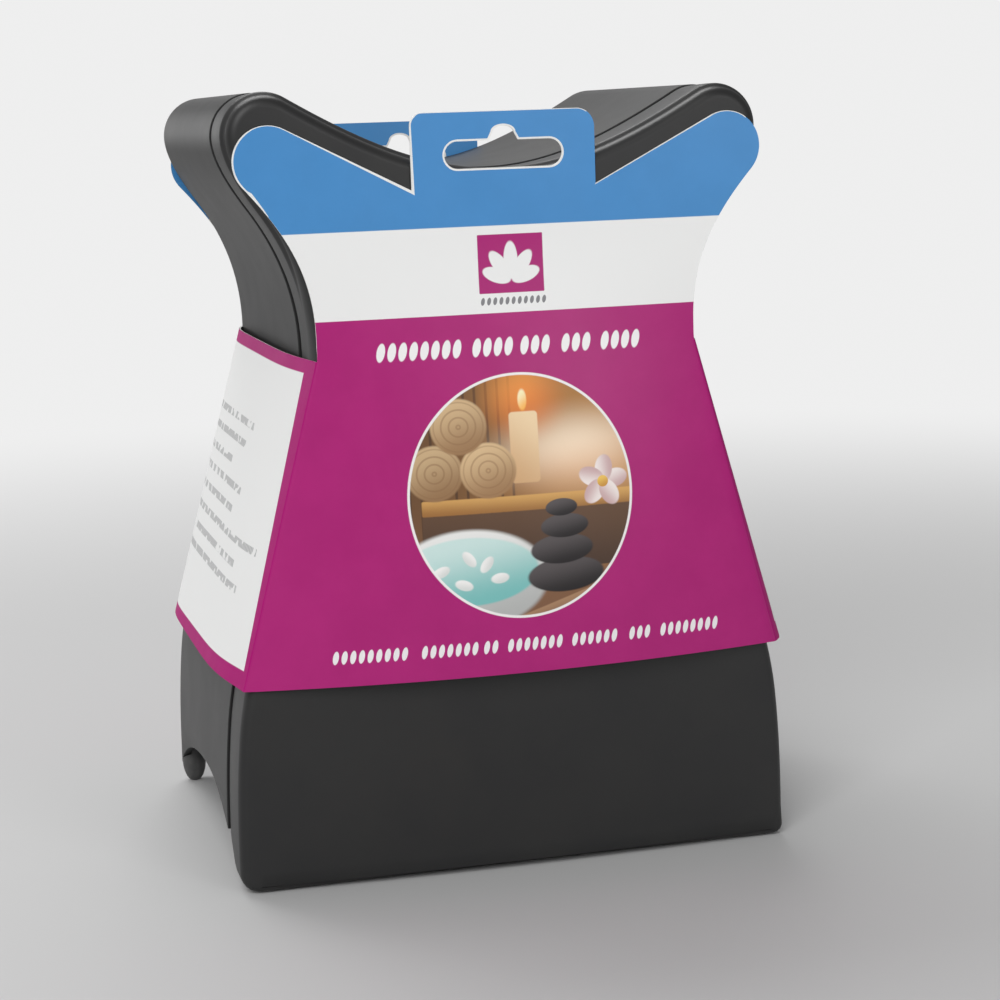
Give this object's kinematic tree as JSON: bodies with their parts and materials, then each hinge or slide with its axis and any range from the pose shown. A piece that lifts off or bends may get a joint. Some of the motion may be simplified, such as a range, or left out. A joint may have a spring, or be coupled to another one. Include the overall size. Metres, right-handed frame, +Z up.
{
  "type": "pedicure footrest",
  "caption": "Hourglass foot rest with a saddle top, moulded as a body shell and a screwed front cover on rubber feet, in a printed folding board sleeve with hanging tabs.",
  "frame": {"origin": "centre of the footprint of the bounding box, on the floor that the feet rest on", "axes": "+Z up, -Y towards the front face that the cover and the sleeve's front panel make, +X to the viewer's right in front of it"},
  "size_m": [0.1866, 0.161, 0.2464],
  "materials": {
    "body_plastic": "matt, fine grain",
    "cover_plastic": "matt, fine grain",
    "foot_rubber": "dull",
    "screw_steel": "zinc plated",
    "printed_board": "printed and varnished outside, bare inside"
  },
  "bodies": {
    "root": {"body_shell": "body_plastic", "front_cover": "cover_plastic", "display_sleeve": "printed_board", "cover_screw_1": "screw_steel", "cover_screw_2": "screw_steel", "cover_screw_3": "screw_steel", "cover_screw_4": "screw_steel", "cover_screw_5": "screw_steel", "cover_screw_6": "screw_steel", "foot_rear_left": "foot_rubber", "foot_rear_right": "foot_rubber", "foot_front_left": "foot_rubber", "foot_front_right": "foot_rubber"}
  },
  "joints": []
}
